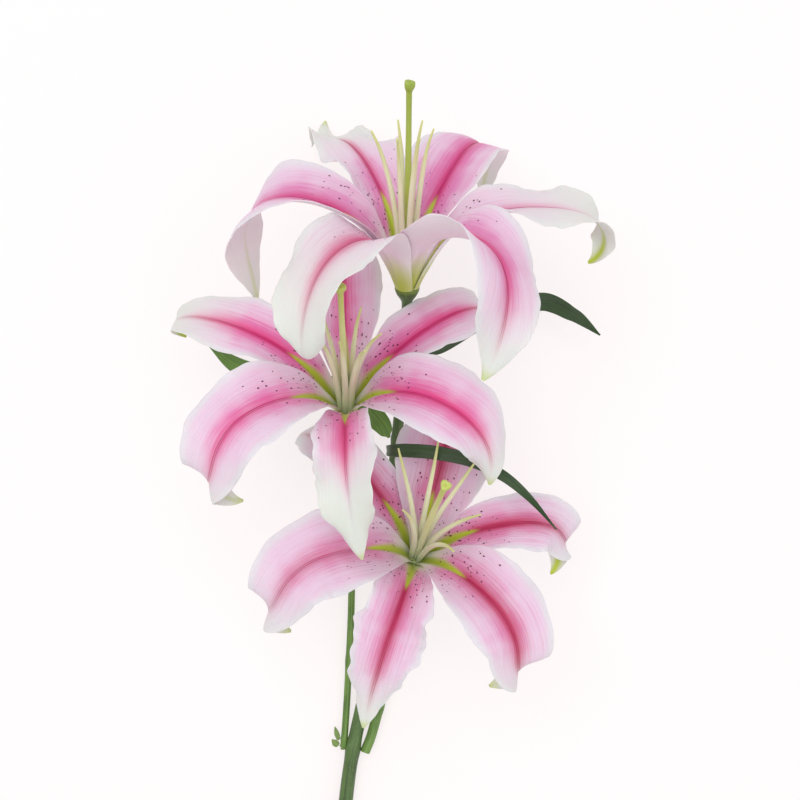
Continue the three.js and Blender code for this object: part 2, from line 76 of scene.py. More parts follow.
# Angles as in the CAD part: `throat` and `bend` to the bloom's axis, `swing` of the
# heading and `twist` of the blade, in degrees. Paint, also from base to tip: `blush`
# is the pink body, `stripe` the strength and `band` the half width of the rose midrib
# band, `veil` the greenish white that covers the outer part.
BLOOMS = {
    "top": {
        "base": (3.4, 54.6, 62),
        "axis": (0.006, 0.825, 0.565),
        "size": 1.06,
        "approach": (24, 11),
        "throat": (18, 26, 38, 57),
        "tepals": {
            "right": {
                "at": -3, "length": 122, "width": 35, "bend": (74, 86, 95, 121, 178, 240),
                "swing": (0, 0, -1, -3, -10), "twist": (0, 0, 0, -6, -45), "wave": (4, 2.6, 0.5),
                "blush": (0.8, 0.8, 0.5, 0.25, 0), "stripe": (0.5, 0.6, 0.6, 0.3, 0),
                "band": (0.3, 0.26, 0.2, 0.16, 0.1), "veil": (0, 0, 0.2, 0.7, 1),
            },
            "back_right": {
                "at": 60, "inner": True, "length": 121, "width": 38,
                "bend": (62, 75, 103, 150, 190, 210), "twist": (0, 0, 3, 9, 8), "wave": (3.5, 2, 1),
                "blush": (0.7, 1, 1, 0.9, 0.2), "stripe": (0.7, 1, 0.9, 0.7, 0.1),
            },
            "back_left": {
                "at": 115, "length": 124, "width": 34, "bend": (67, 82, 100, 110, 96, 72),
                "swing": (0, 0, 2, -2, -22), "twist": (0, 0, 0, 4, 20), "wave": (6, 3.2, 4.6),
                "blush": (0.7, 0.9, 0.7, 0.2, 0), "stripe": (0.6, 1, 1, 0.9, 0),
                "band": (0.3, 0.24, 0.17, 0.12, 0.1), "veil": (0, 0, 0.1, 0.7, 1),
            },
            "left": {
                "at": 181, "inner": True, "length": 134, "width": 44,
                "bend": (74, 102, 146, 182, 190, 184), "swing": (0, 0, 0, -3, -10, -16),
                "twist": (0, 0, 0, 6, 15, 20), "wave": (2.5, 2.4, 0),
                "blush": (0.6, 0.9, 0.9, 0.5, 0), "stripe": (0.5, 0.8, 0.8, 0.2, 0),
            },
            "front_left": {
                "at": 240, "length": 128, "width": 38, "bend": (78, 103, 129, 152, 186, 262),
                "swing": (0, 0, -6, -5, 8, 22), "twist": (0, 0, 5, 15, 15), "wave": (4, 2.6, 1),
                "blush": (1, 1, 0.8, 0.5, 0), "stripe": (0.8, 1, 1, 0.8, 0.1),
                "band": (0.5, 0.46, 0.36, 0.22, 0.12), "veil": (0, 0, 0.4, 0.8, 1),
            },
            "front_right": {
                "at": 296, "inner": True, "length": 138, "width": 46,
                "bend": (75, 94, 122, 152, 160, 148),
                "swing": (0, 0, 5, 12, 12, 6, -10, -40, -78, -98),
                "twist": (0, 0, -8, -34, -48, -40), "wave": (2.5, 2.5, 0),
                "blush": (1, 1, 1, 0.8, 0.1), "stripe": (0.5, 0.9, 0.9, 0.8, 0),
            },
        },
    },
    "middle": {
        "base": (-26.7, -4, 42),
        "axis": (0.01, 0.52, 0.855),
        "size": 0.96,
        "approach": (24, 11),
        "throat": (18, 27, 39, 55),
        "tepals": {
            "upper_right": {
                "at": 28, "length": 112, "width": 32, "bend": (60, 73, 92, 116, 152, 210),
                "swing": (0, 0, 0, 1, 3), "wave": (2.5, 2.6, 0), "blush": (0.8, 1, 1, 0.7, 0),
                "stripe": (0.6, 1, 1, 0.9, 0),
            },
            "top": {
                "at": 91, "inner": True, "length": 116, "width": 38,
                "bend": (64, 76, 90, 110, 140, 180), "blush": (0.3, 0.7, 0.8, 0.6, 0.2),
                "stripe": (0.5, 0.8, 0.8, 0.5, 0),
            },
            "upper_left": {
                "at": 159, "length": 127, "width": 33, "bend": (70, 86, 101, 118, 155, 255),
                "wave": (2.5, 2.4, 1), "blush": (0.8, 1, 1, 0.5, 0), "stripe": (0.7, 1, 1, 0.7, 0),
                "veil": (0, 0, 0, 0.6, 1),
            },
            "lower_left": {
                "at": 214, "inner": True, "length": 138, "width": 42,
                "bend": (72, 92, 114, 148, 215, 280), "swing": (0, 0, 0, 0, 2, 8, 26, 30, -50, -34),
                "wave": (2, 3, 0), "blush": (0.5, 0.75, 0.8, 0.6, 0),
                "stripe": (0.2, 0.45, 0.6, 0.65, 0),
            },
            "bottom": {
                "at": 272, "length": 118, "width": 32, "bend": (70, 95, 120, 138, 146, 150),
                "swing": (0, 0, 0, 8, 34), "twist": (0, 0, 18, 26, 24, 20), "wave": (3, 3, 0),
                "notch": 0.09, "blush": (0.8, 1, 1, 0.05, 0), "stripe": (0.6, 1, 1, 0.15, 0),
                "band": (0.4, 0.4, 0.3, 0.2, 0.2), "veil": (0, 0, 0.2, 1, 1),
            },
            "right": {
                "at": 337, "inner": True, "length": 122, "width": 42,
                "bend": (70, 87, 106, 130, 150, 158),
                "swing": (0, 0, 0, 0, -3, -8, -14, -26, -52, -84),
                "blush": (0.5, 0.8, 0.9, 0.8, 0.1), "stripe": (0.3, 0.8, 0.9, 0.9, 0.1),
            },
        },
    },
    "lower": {
        "base": (8.2, -79.6, 20),
        "axis": (0.118, 0.413, 0.9),
        "size": 0.98,
        "approach": (11, 5),
        "throat": (18, 29, 42, 58),
        "tepals": {
            "right": {
                "at": 11, "length": 113, "width": 30, "bend": (72, 88, 105, 144, 230, 262),
                "swing": (0, 0, 0, -3, -4, -8, -22, -46, 66, 36),
                "twist": (0, 0, 0, 0, 0, 0, 6, 14, 10, 0), "blush": (0.7, 1, 1, 0.5, 0),
                "stripe": (0.6, 1, 1, 0.6, 0), "band": (0.4, 0.4, 0.36, 0.3, 0.2),
            },
            "top": {
                "at": 78, "inner": True, "length": 109, "width": 48,
                "bend": (62, 77, 100, 138, 180, 210), "wave": (3.5, 2.4, 1),
                "blush": (0.4, 0.7, 0.8, 0.6, 0), "stripe": (0.4, 0.8, 0.9, 0.8, 0),
                "band": (0.3, 0.3, 0.3, 0.3, 0.2),
            },
            "upper_left": {
                "at": 137, "length": 113, "width": 30, "bend": (69, 84, 99, 122, 155, 200),
                "swing": (0, 0, 0, 6, 16), "blush": (0.7, 1, 0.9, 0.6, 0),
                "stripe": (0.5, 0.9, 0.9, 0.6, 0), "band": (0.4, 0.4, 0.36, 0.3, 0.2),
            },
            "left": {
                "at": 196, "inner": True, "length": 134, "width": 43,
                "bend": (68, 84, 104, 140, 205, 275),
                "swing": (0, 0, 0, 2, 5, 12, 32, 40, -50, -30), "blush": (0.4, 0.7, 0.8, 0.6, 0.1),
                "stripe": (0.2, 0.35, 0.45, 0.45, 0),
            },
            "bottom": {
                "at": 251, "length": 116, "width": 34, "bend": (68, 88, 108, 122, 130, 135),
                "swing": (0, 0, 0, 4, 10), "wave": (4, 3, 0.5), "notch": 0.13,
                "blush": (0.8, 1, 1, 0.8, 0.1), "stripe": (0.6, 1, 1, 0.8, 0.1),
            },
            "lower_right": {
                "at": 314, "inner": True, "length": 124, "width": 42,
                "bend": (68, 86, 106, 142, 210, 275),
                "swing": (0, 0, 0, -2, -5, -9, -22, -30, 66, 60),
                "blush": (0.4, 0.8, 0.8, 0.8, 0.1), "stripe": (0.5, 0.9, 1, 0.9, 0),
            },
        },
    },
}
BLUSH = (0.6, 0.9, 0.9, 0.6, 0)
STRIPE = (0.5, 0.9, 0.9, 0.7, 0)
BAND = (0.34, 0.32, 0.28, 0.24, 0.2)
VEIL = (0, 0, 0, 0.15, 1)

# Where each filament leaves the ring and how far its tip leans, in degrees.
FILAMENTS = {
    "top": ((4, 5), (62, 6), (112, 6), (180, 9), (239, 5), (294, 5)),
    "middle": ((350, 11), (50, 7), (137, 9), (210, 7), (265, 4), (310, 10)),
    "lower": ((353, 13), (52, 23), (86, 27), (120, 25), (188, 9), (291, 14)),
}

# Points that the stem and the side stalks pass, from the fork upwards.
MAIN_ROUTE = (
    (-27, -198, 4.2), (-20.5, -163, 4), (-11.5, -126, 3.8), (-7.3, -84, 4),
    (-4, -44, 6), (-1, -14, 13), (1.4, 11, 28),
)
MIDDLE_ROUTE = (
    (-29.2, -178, 2.2), (-27.4, -150, 2.2), (-25.4, -104, 2.2), (-25.8, -62, 4), (-27, -34, 10),
)
LOWER_ROUTE = ((-14, -172, 3), (-6, -140, 3), (0.5, -112, 3), (4.2, -95, 4))
CUT_DIRECTION = (-0.1, -0.995, 0)
FORK_SHARE = 0.14
MIDDLE_STALK_SIDE = 200
LOWER_STALK_SIDE = -8
STEM_STEPS = 36
STALK_STEPS = 24

LEAVES = {
    "leaf_left": {
        "share": 0.58, "side": 146, "width": 13.5, "face": (0, 0, 1),
        "route": ((-11.2, -10.2, 22), (-26, 3, 24), (-51, 8, 23), (-80, 16, 20), (-101, 31, 14)),
    },
    "leaf_right": {
        "share": 0.81, "side": -10, "width": 12, "face": (0, 0, 1),
        "route": ((18, 27, 34), (44, 43.5, 30), (71, 50, 30), (87, 43.5, 29), (101.5, 33, 23)),
    },
    "leaf_front": {
        "share": 0.55, "side": 95, "width": 6.4, "face": (-1, 0, 0),
        "route": (
            (-6, -25.5, 28), (-5, -25, 43), (4, -24.5, 53), (18, -25.5, 58), (34, -29, 61),
            (49, -36, 63), (62, -47, 63), (75, -62, 60),
        ),
    },
}
SCALES = {
    "bract": {"share": 0.29, "side": 20, "width": 2.6, "reach": (4.5, 9, 1.6)},
    "leaf_stub_upper": {"share": 0.13, "side": 170, "width": 2.4, "reach": (-2, 7, 0.6)},
    "leaf_stub_lower": {"share": 0.08, "side": 160, "width": 3.4, "reach": (-3.2, 3.4, 0.8)},
}

# ---- fineness of the visual meshes ----------------------------------------------
TEPAL_ROWS = 169
TEPAL_COLUMNS = 49
LEAF_ROWS = 141
LEAF_COLUMNS = 25
STEM_ROWS = 361
STALK_ROWS = 289
STEM_SIDES = 28
SCALE_ROWS = 41
SCALE_COLUMNS = 13
FILAMENT_ROWS = 61
FILAMENT_SIDES = 14
PISTIL_ROWS = 181
PISTIL_SIDES = 30
SPOTS_PER_TEPAL = 44
SPOT_RADII = (0.18, 0.44)

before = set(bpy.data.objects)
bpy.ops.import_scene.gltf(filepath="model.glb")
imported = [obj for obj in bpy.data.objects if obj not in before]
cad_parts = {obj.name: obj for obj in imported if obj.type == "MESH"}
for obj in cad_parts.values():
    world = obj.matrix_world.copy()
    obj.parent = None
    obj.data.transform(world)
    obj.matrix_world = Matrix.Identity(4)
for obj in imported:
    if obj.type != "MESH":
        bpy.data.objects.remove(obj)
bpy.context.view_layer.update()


# ---- curves -----------------------------------------------------------------------
def along(values, s):
    """Smooth values at shares s of an evenly spaced list of numbers or points (Catmull-Rom)."""
    v = np.asarray(values, float)
    x = np.clip(s, 0, 1) * (len(v) - 1)
    i = np.minimum(x.astype(int), len(v) - 2)
    f = (x - i).reshape(x.shape + (1,) * (v.ndim - 1))
    padded = np.concatenate([[2 * v[0] - v[1]], v, [2 * v[-1] - v[-2]]])
    a, b, c, d = (padded[i + k] for k in range(4))
    return b + 0.5 * f * (c - a + f * (2 * a - 5 * b + 4 * c - d + f * (3 * (b - c) + d - a)))


def unit(v):
    """Vectors scaled to length 1."""
    return v / np.linalg.norm(v, axis=-1, keepdims=True)


def smooth(x, low, high):
    """0 below low, 1 above high, smooth in between."""
    u = np.clip((x - low) / (high - low), 0, 1)
    return u * u * (3 - 2 * u)


def wander(s, waves, seed):
    """Smooth unrest between -1 and 1 along s, from a few sines with seeded phases."""
    rng = np.random.default_rng(seed)
    return sum(
        np.sin(2 * math.pi * waves * f * s + rng.uniform(0, 2 * math.pi)) * w
        for f, w in ((1, 0.5), (1.7, 0.3), (2.9, 0.2))
    )


# ---- meshes -----------------------------------------------------------------------
def skin(loops):
    """Quads of a tube through rows of closed loops, shape (rows, points, 3)."""
    rows, count = loops.shape[:2]
    i, k = np.meshgrid(np.arange(rows - 1), np.arange(count), indexing="ij")
    n = (k + 1) % count
    quads = np.stack([i * count + k, (i + 1) * count + k, (i + 1) * count + n, i * count + n], -1)
    return quads.reshape(-1, 4)


def make_piece(name, parts, material):
    """One smooth object from (points, faces, attributes) parts; it stands for its CAD node."""
    start = 0
    points, faces, values = [], [], {}
    for part_points, part_faces, attributes in parts:
        points.append(part_points)
        faces.extend([start + k for k in face] for face in part_faces)
        start += len(part_points)
        for key, value in attributes.items():
            values.setdefault(key, []).append(value)
    mesh = bpy.data.meshes.new(f"{name}_fine")
    mesh.from_pydata((np.concatenate(points) + OFFSET) * MM, [], faces)
    for key, chunks in values.items():
        data = np.concatenate(chunks).astype(np.float32)
        kind = "FLOAT_VECTOR" if data.ndim == 2 else "FLOAT"
        field = "vector" if data.ndim == 2 else "value"
        mesh.attributes.new(key, kind, "POINT").data.foreach_set(field, data.ravel())
    mesh.shade_smooth()
    mesh.materials.append(material)
    piece = bpy.data.objects.new(f"{name}_fine", mesh)
    bpy.context.scene.collection.objects.link(piece)
    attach(piece, "root")
    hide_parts(name)


def blade_part(sheet, lift, thickness, attributes):
    """Closed blade round a sheet of points (rows, columns, 3) with rounded edges.

    attributes(s, t, face) gives the values at each point; face is 1 above and -1 below.
    """
    rows, columns = sheet.shape[:2]
    half = thickness / 2
    upper = sheet + lift * half[..., None]
    lower = sheet - lift * half[..., None]
    outward = unit(sheet[:, -1:] - sheet[:, -2:-1]) * half[:, -1:, None]
    inward = unit(sheet[:, :1] - sheet[:, 1:2]) * half[:, :1, None]
    loops = np.concatenate(
        [upper, sheet[:, -1:] + outward, lower[:, ::-1], sheet[:, :1] + inward], axis=1
    )
    t = np.linspace(-1, 1, columns)
    across = np.concatenate([t, [1], t[::-1], [-1]])
    face = np.concatenate([np.ones(columns), [0], -np.ones(columns), [0]])
    count = loops.shape[1]
    s = np.repeat(np.linspace(0, 1, rows)[:, None], count, 1)
    quads = [list(q) for q in skin(loops)]
    # The base and the tip close with faces from the upper side to the lower.
    for row, flip in ((0, False), (rows - 1, True)):
        first = row * count
        for j in range(columns - 1):
            a, b = first + j, first + j + 1
            c, d = first + 2 * columns - 1 - j, first + 2 * columns - j
            quads.append([a, d, c, b][::-1] if flip else [a, b, c, d][::-1])
        for a, b, c in (
            (columns - 1, columns, columns + 1),
            (2 * columns, 2 * columns + 1, 0),
        ):
            quads.append([first + a, first + b, first + c][:: 1 if flip else -1])
    grid = attributes(s, np.repeat(across[None], rows, 0), np.repeat(face[None], rows, 0))
    flat = {k: v.reshape((-1,) + v.shape[2:]) for k, v in grid.items()}
    return loops.reshape(-1, 3), quads, flat


def lifts(sheet):
    """Unit normals of a sheet of points, towards its upper face."""
    ahead = np.gradient(sheet, axis=0)
    across = np.gradient(sheet, axis=1)
    return unit(np.cross(ahead, across))


def tube_part(centres, radii, sides, section, attributes=None, start_cap=1, end_cap=1):
    """Closed round tube; section(s, angle) scales the radius round it.

    A cap of 1 domes its end a little, more domes it more, and below 0 it is dished.
    """
    rows = len(centres)
    s = np.linspace(0, 1, rows)
    tangents = unit(np.gradient(centres, axis=0))
    right = np.array([1.0, 0, 0])
    rights = np.zeros_like(centres)
    for i in range(rows):
        right = unit(right - right.dot(tangents[i]) * tangents[i])
        rights[i] = right
    ups = np.cross(tangents, rights)
    angle = np.linspace(0, 2 * math.pi, sides, endpoint=False)
    reach = (radii[:, None] * section(s[:, None], angle[None]))[..., None]
    loops = centres[:, None] + reach * (
        np.cos(angle)[None, :, None] * rights[:, None] + np.sin(angle)[None, :, None] * ups[:, None]
    )
    # Each end closes in rings: share of the end's radius, and how far it stands out.
    caps = ((0.93, 0.06), (0.7, 0.1), (0.4, 0.08), (0.12, 0.04), (0.0, 0.0))
    before = [
        centres[0] + (loops[0] - centres[0]) * share - tangents[0] * radii[0] * rise * start_cap
        for share, rise in reversed(caps)
    ]
    after = [
        centres[-1] + (loops[-1] - centres[-1]) * share + tangents[-1] * radii[-1] * rise * end_cap
        for share, rise in caps
    ]
    loops = np.concatenate([before, loops, after])
    share = [x for x, _ in caps]
    rim = np.concatenate([share[::-1], np.ones(rows), share])
    way = np.concatenate([np.zeros(len(caps)), s, np.ones(len(caps))])
    travelled = np.concatenate([[0], np.cumsum(np.linalg.norm(np.diff(centres, axis=0), axis=1))])
    run = np.concatenate([np.zeros(len(caps)), travelled, np.full(len(caps), travelled[-1])])
    size = np.concatenate([np.full(len(caps), radii[0]), radii, np.full(len(caps), radii[-1])])
    values = {
        "way": np.repeat(way[:, None], sides, 1).ravel(),
        "rim": np.repeat(rim[:, None], sides, 1).ravel(),
        "grain": np.stack(
            [
                (rim * size)[:, None] * np.cos(angle)[None],
                (rim * size)[:, None] * np.sin(angle)[None],
                np.repeat(run[:, None], sides, 1),
            ],
            -1,
        ).reshape(-1, 3),
    }
    if attributes is not None:
        values.update(attributes(way, sides))
    return loops.reshape(-1, 3), [list(q) for q in skin(loops)], values


# ---- node materials ---------------------------------------------------------------
def srgb(red, green, blue):
    """Linear colour from display values between 0 and 255."""
    values = [x / 255 for x in (red, green, blue)]
    return tuple(x / 12.92 if x <= 0.04045 else ((x + 0.055) / 1.055) ** 2.4 for x in values) + (1,)


class Shader:
    """A node material with one Principled surface, and short calls for its nodes."""

    def __init__(self, name):
        self.material = bpy.data.materials.new(name)
        self.material.use_nodes = True
        self.tree = self.material.node_tree
        self.surface = self.tree.nodes["Principled BSDF"]

    def plug(self, socket, value):
        if isinstance(value, bpy.types.NodeSocket):
            self.tree.links.new(value, socket)
        else:
            socket.default_value = value

    def value(self, name):
        node = self.tree.nodes.new("ShaderNodeAttribute")
        node.attribute_name = name
        return node.outputs["Fac"]

    def vector(self, name):
        node = self.tree.nodes.new("ShaderNodeAttribute")
        node.attribute_name = name
        return node.outputs["Vector"]

    def parts(self, vector):
        node = self.tree.nodes.new("ShaderNodeSeparateXYZ")
        self.plug(node.inputs[0], vector)
        return node.outputs

    def math(self, operation, a, b=0.0, clamp=False):
        node = self.tree.nodes.new("ShaderNodeMath")
        node.operation = operation
        node.use_clamp = clamp
        self.plug(node.inputs[0], a)
        self.plug(node.inputs[1], b)
        return node.outputs[0]

    def vary(self, base, strength, unrest, share):
        """base plus share of strength times unrest, kept between 0 and 1."""
        change = self.math("MULTIPLY", unrest, self.math("MULTIPLY", strength, share))
        return self.math("ADD", base, change, clamp=True)

    def stretch(self, vector, scale):
        node = self.tree.nodes.new("ShaderNodeVectorMath")
        node.operation = "MULTIPLY"
        self.plug(node.inputs[0], vector)
        self.plug(node.inputs[1], scale)
        return node.outputs[0]

    def fit(self, value, low, high, start=0.0, end=1.0):
        node = self.tree.nodes.new("ShaderNodeMapRange")
        node.interpolation_type = "SMOOTHSTEP"
        for socket, x in zip(node.inputs, (value, low, high, start, end)):
            self.plug(socket, x)
        return node.outputs[0]

    def noise(self, vector, scale, detail=2.0):
        node = self.tree.nodes.new("ShaderNodeTexNoise")
        self.plug(node.inputs["Vector"], vector)
        self.plug(node.inputs["Scale"], scale)
        self.plug(node.inputs["Detail"], detail)
        return node.outputs["Fac"]

    def mix(self, factor, a, b):
        node = self.tree.nodes.new("ShaderNodeMix")
        node.data_type = "RGBA"
        self.plug(node.inputs["Factor"], factor)
        self.plug(node.inputs[6], a)
        self.plug(node.inputs[7], b)
        return node.outputs[2]

    def bump(self, height, distance, strength=1.0):
        node = self.tree.nodes.new("ShaderNodeBump")
        self.plug(node.inputs["Height"], height)
        self.plug(node.inputs["Distance"], distance)
        self.plug(node.inputs["Strength"], strength)
        self.tree.links.new(node.outputs[0], self.surface.inputs["Normal"])

    def soften(self, weight, radius):
        """Light that sinks in and comes out again, up to a radius in metres for red."""
        self.surface.inputs["Subsurface Weight"].default_value = weight
        self.surface.inputs["Subsurface Radius"].default_value = (1.0, 0.6, 0.6)
        self.surface.inputs["Subsurface Scale"].default_value = radius


WHITE = srgb(218, 214, 221)
PALE_PINK = srgb(224, 196, 218)
PINK = srgb(218, 134, 186)
ROSE = srgb(200, 38, 114)
CRIMSON = srgb(150, 16, 74)
IVORY_GREEN = srgb(216, 220, 212)
# Pale colour of the lower face: partly its own paler back, partly painted light that lifts the shade
# on that face.
PALE_BACK_AND_PAINTED_LIGHT = srgb(250, 238, 244)
# Pale green-white of the throat, lighter than the white margins: its own colour plus painted light
# against the shade deep in the funnel.
PALE_THROAT_AND_PAINTED_LIGHT = srgb(246, 248, 232)
LIME = srgb(178, 194, 52)
SPOT = srgb(104, 20, 58)
PALE_CUT = srgb(196, 208, 150)


def tepal_material(name, pink, rose):
    """Tepal skin; the paint attributes say where each colour lies. The pale throat and the pale lower
    face carry painted light as well as their own colour.
    """
    m = Shader(name)
    grain = m.vector("grain")
    blush, stripe, veil = m.parts(m.vector("paint"))
    green, spot, inner = m.parts(m.vector("marks"))
    streak = m.noise(m.stretch(grain, (1.9, 0.05, 1.0)), 1.0, 3.0)
    cloud = m.noise(m.stretch(grain, (0.09, 0.05, 1.0)), 1.0, 2.0)
    unrest = m.math("MULTIPLY", m.math("SUBTRACT", streak, 0.5), 0.8)
    drift = m.math("SUBTRACT", cloud, 0.5)
    body = m.vary(blush, blush, unrest, 0.9)
    body = m.vary(body, blush, drift, 0.5)
    colour = m.mix(m.fit(body, 0.0, 0.5), WHITE, PALE_PINK)
    colour = m.mix(m.fit(body, 0.4, 1.0), colour, pink)
    veins = m.fit(m.noise(m.stretch(grain, (1.3, 0.025, 1.0)), 1.0, 2.0), 0.5, 0.66, 0.0, 0.24)
    colour = m.mix(m.math("MULTIPLY", veins, blush), colour, rose)
    colour = m.mix(m.vary(stripe, stripe, unrest, 0.7), colour, rose)
    side = m.math("ABSOLUTE", m.parts(grain)[0])
    line = m.fit(m.math("ABSOLUTE", m.math("SUBTRACT", side, 0.55)), 0.1, 0.32, 1.0, 0.0)
    line = m.math("MULTIPLY", line, m.math("MULTIPLY", m.fit(stripe, 0.15, 0.6), inner))
    colour = m.mix(m.math("MULTIPLY", line, 0.75), colour, CRIMSON)
    # The lower face is mixed towards that pale colour: its own paler back, plus painted light against
    # its shade.
    colour = m.mix(m.fit(inner, 0.0, 1.0, 0.55, 0.0), colour, PALE_BACK_AND_PAINTED_LIGHT)
    colour = m.mix(veil, colour, IVORY_GREEN)
    # Throat mixed towards that pale colour: partly its own green-white, partly painted light in the
    # funnel.
    colour = m.mix(m.value("throat"), colour, PALE_THROAT_AND_PAINTED_LIGHT)
    colour = m.mix(green, colour, LIME)
    colour = m.mix(m.fit(spot, 0.3, 0.7), colour, SPOT)
    m.plug(m.surface.inputs["Base Color"], colour)
    m.plug(m.surface.inputs["Roughness"], m.fit(streak, 0.2, 0.8, 0.42, 0.6))
    vein = m.noise(m.stretch(grain, (1.5, 0.03, 1.0)), 1.0, 1.0)
    pore = m.noise(m.stretch(grain, (3.5, 1.4, 1.0)), 1.0, 2.0)
    m.bump(m.math("ADD", vein, m.math("MULTIPLY", pore, 0.25)), 0.00035, 0.7)
    m.soften(0.25, 0.0006)
    m.surface.inputs["Sheen Weight"].default_value = 0.15
    m.surface.inputs["Sheen Roughness"].default_value = 0.4
    m.surface.inputs["Specular IOR Level"].default_value = 0.4
    return m.material


def green_material(name, dark, light, cut, rough):
    """Stem and stalk skin with fine lengthwise streaks and a pale cut face."""
    m = Shader(name)
    grain = m.vector("grain")
    streak = m.noise(m.stretch(grain, (1.6, 1.6, 0.04)), 1.0, 3.0)
    cloud = m.noise(m.stretch(grain, (0.2, 0.2, 0.06)), 1.0, 2.0)
    fleck = m.noise(m.stretch(grain, (3.0, 3.0, 1.5)), 1.0, 1.0)
    shade = m.math("ADD", m.math("MULTIPLY", streak, 0.6), m.math("MULTIPLY", cloud, 0.5))
    colour = m.mix(m.fit(shade, 0.3, 0.8), dark, light)
    colour = m.mix(m.math("MULTIPLY", m.fit(fleck, 0.66, 0.76), 0.35), colour, cut)
    colour = m.mix(m.fit(m.value("tint"), 0.0, 1.0), colour, LIME)
    pith = m.mix(m.fit(m.noise(grain, 1.6, 1.0), 0.45, 0.65), cut, light)
    colour = m.mix(m.fit(m.value("rim"), 0.9, 0.97, 1.0, 0.0), colour, pith)
    m.plug(m.surface.inputs["Base Color"], colour)
    m.plug(m.surface.inputs["Roughness"], m.fit(streak, 0.2, 0.8, rough - 0.08, rough + 0.1))
    m.bump(m.math("ADD", streak, m.math("MULTIPLY", fleck, 0.3)), 0.0003, 0.6)
    m.soften(0.12, 0.0008)
    return m.material


def leaf_material(name, dark, light, young):
    """Leaf skin with parallel veins; the underside is paler and the base younger."""
    m = Shader(name)
    grain = m.vector("grain")
    x, y, _ = m.parts(grain)
    vein = m.noise(m.stretch(grain, (1.9, 0.02, 1.0)), 1.0, 1.0)
    cloud = m.noise(m.stretch(grain, (0.25, 0.06, 1.0)), 1.0, 2.0)
    rib = m.fit(m.math("ABSOLUTE", x), 0.12, 0.5, 1.0, 0.0)
    shade = m.math("ADD", m.math("MULTIPLY", vein, 0.7), m.math("MULTIPLY", cloud, 0.4))
    colour = m.mix(m.fit(shade, 0.35, 0.85), dark, light)
    fresh = m.mix(m.fit(vein, 0.4, 0.62), young, light)
    colour = m.mix(m.fit(y, 12.0, 34.0, 0.85, 0.0), colour, fresh)
    colour = m.mix(m.math("MULTIPLY", rib, 0.45), colour, light)
    colour = m.mix(m.math("MULTIPLY", m.value("under"), 0.5), colour, light)
    m.plug(m.surface.inputs["Base Color"], colour)
    m.plug(m.surface.inputs["Roughness"], m.fit(cloud, 0.2, 0.8, 0.34, 0.5))
    m.bump(vein, 0.0004, 0.8)
    m.soften(0.1, 0.0006)
    return m.material


def thread_material(name, low, middle, high, turn, rough):
    """Filament or style skin: three colours from base to tip, with faint streaks."""
    m = Shader(name)
    grain = m.vector("grain")
    streak = m.noise(m.stretch(grain, (1.4, 1.4, 0.08)), 1.0, 2.0)
    way = m.math("ADD", m.value("way"), m.math("MULTIPLY", m.math("SUBTRACT", streak, 0.5), 0.12))
    colour = m.mix(m.fit(way, 0.0, turn), low, middle)
    colour = m.mix(m.fit(way, turn, 1.0), colour, high)
    m.plug(m.surface.inputs["Base Color"], colour)
    m.plug(m.surface.inputs["Roughness"], m.fit(streak, 0.2, 0.8, rough - 0.05, rough + 0.1))
    m.bump(streak, 0.0002, 0.5)
    m.soften(0.3, 0.001)
    return m.material


# ---- tepals -----------------------------------------------------------------------
def bloom_axes(bloom):
    """Rows: right, up and the way the bloom faces."""
    facing = unit(np.array(bloom["axis"], float))
    right = unit(np.array([1.0, 0, 0]) - facing[0] * facing)
    return np.array([right, np.cross(facing, right), facing])


def edge_unrest(t, share, waves, seed):
    """Unrest along a blade, with a course of its own on each side of the midrib."""
    return np.where(t > 0, wander(share, waves, seed), wander(share, waves, seed + 50))


